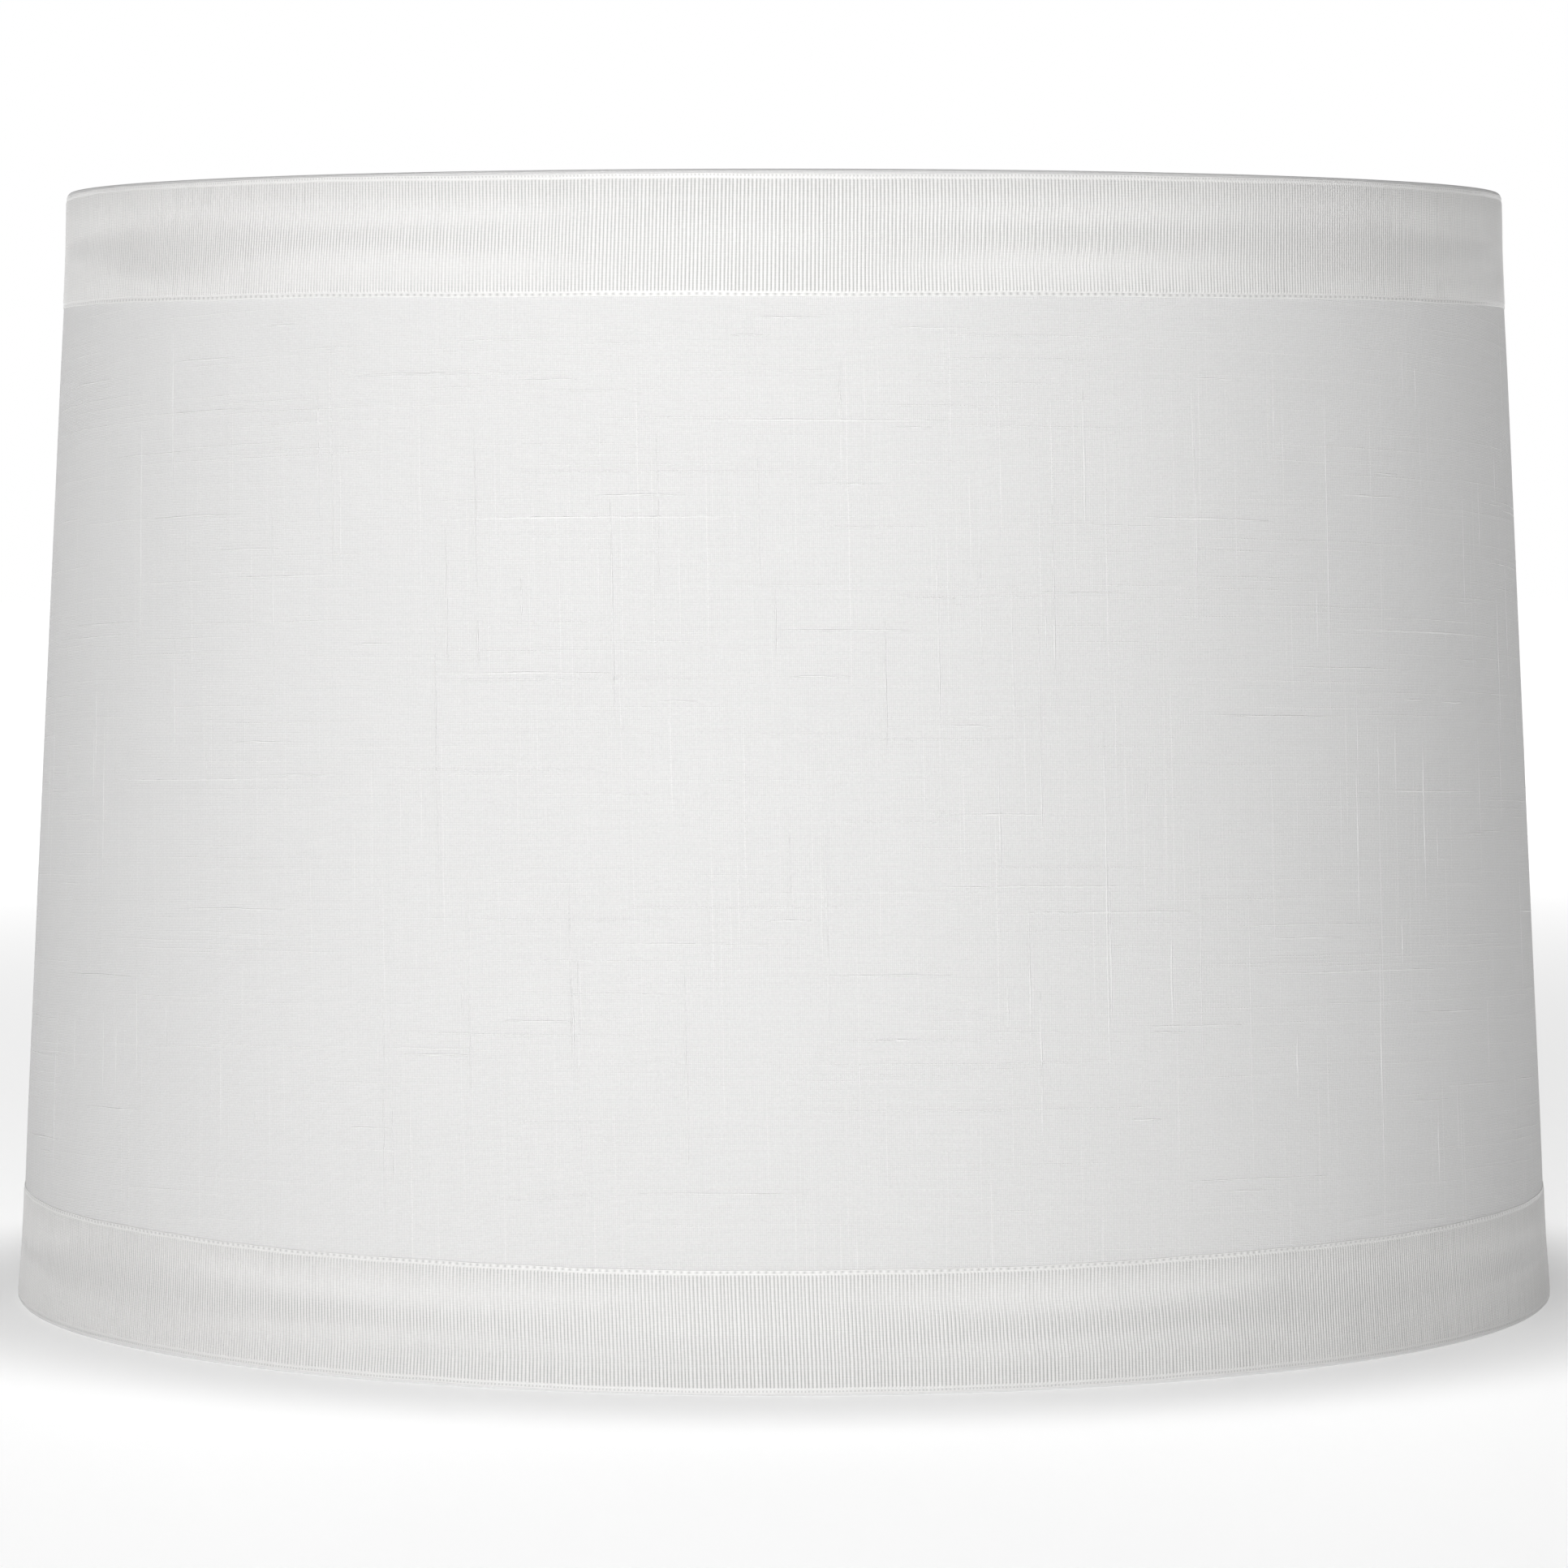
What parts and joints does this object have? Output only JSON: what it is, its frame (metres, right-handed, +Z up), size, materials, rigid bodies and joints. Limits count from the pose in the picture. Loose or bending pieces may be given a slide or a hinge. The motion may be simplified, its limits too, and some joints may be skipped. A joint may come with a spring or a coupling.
{
  "type": "lamp shade",
  "caption": "Slightly tapered drum lamp shade: off-white slubbed cloth on a stiff liner, grosgrain ribbon round both rims, and a recessed wire spider with a washer that seats on a lamp harp.",
  "frame": {"origin": "on the shade's axis, at the level of the bottom rim", "axes": "+Z up along the shade's axis; -Y is the front and +Y is where the sheets, the bindings and the ribbons are seamed"},
  "size_m": [0.3556, 0.358, 0.2537],
  "materials": {
    "cloth": "matt off-white plain weave with slubs",
    "grosgrain": "ribbed ribbon with a slight sheen",
    "styrene": "satin white sheet",
    "tape": "clear-set adhesive strip",
    "wire": "bright zinc plate"
  },
  "bodies": {
    "root": {"fabric_cover": "cloth", "top_binding": "cloth", "bottom_binding": "cloth", "top_ribbon": "grosgrain", "bottom_ribbon": "grosgrain", "liner": "styrene", "seam_tape": "tape", "top_ring": "wire", "bottom_ring": "wire", "hub_washer": "wire", "spider_arm_1": "wire", "spider_arm_2": "wire", "spider_arm_3": "wire"}
  },
  "joints": []
}
